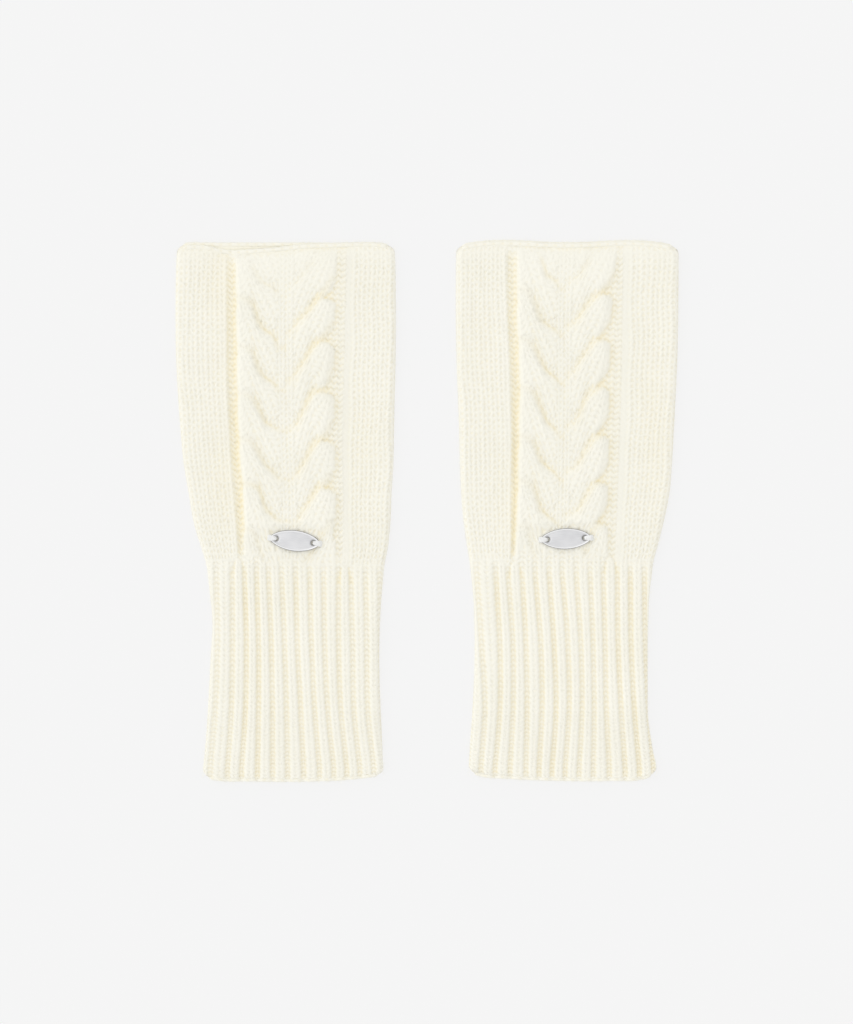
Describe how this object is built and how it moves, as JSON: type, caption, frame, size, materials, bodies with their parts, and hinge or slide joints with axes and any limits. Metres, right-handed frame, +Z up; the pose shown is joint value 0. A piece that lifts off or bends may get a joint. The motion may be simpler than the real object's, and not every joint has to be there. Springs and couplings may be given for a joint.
{
  "type": "pair of knitted hand warmers",
  "caption": "Pair of fingerless knitted hand warmers laid flat: plain knit hand parts with a raised horseshoe cable, long ribbed cuffs and small oval metal tags.",
  "frame": {"origin": "Middle of the pair's footprint, on the surface that the warmers lie on.", "axes": "+X to the right as seen from above, +Y from the cuffs towards the hand openings, +Z up out of the surface."},
  "size_m": [0.2238, 0.2412, 0.0069],
  "materials": {
    "knit": "soft brushed wool knit, cream",
    "tag": "satin, with a polished rim"
  },
  "bodies": {
    "root": {"left_hand_front": "knit", "left_hand_back": "knit", "left_cuff_front": "knit", "left_cuff_back": "knit", "left_tag": "tag", "right_hand_front": "knit", "right_hand_back": "knit", "right_cuff_front": "knit", "right_cuff_back": "knit", "right_tag": "tag"}
  },
  "joints": []
}
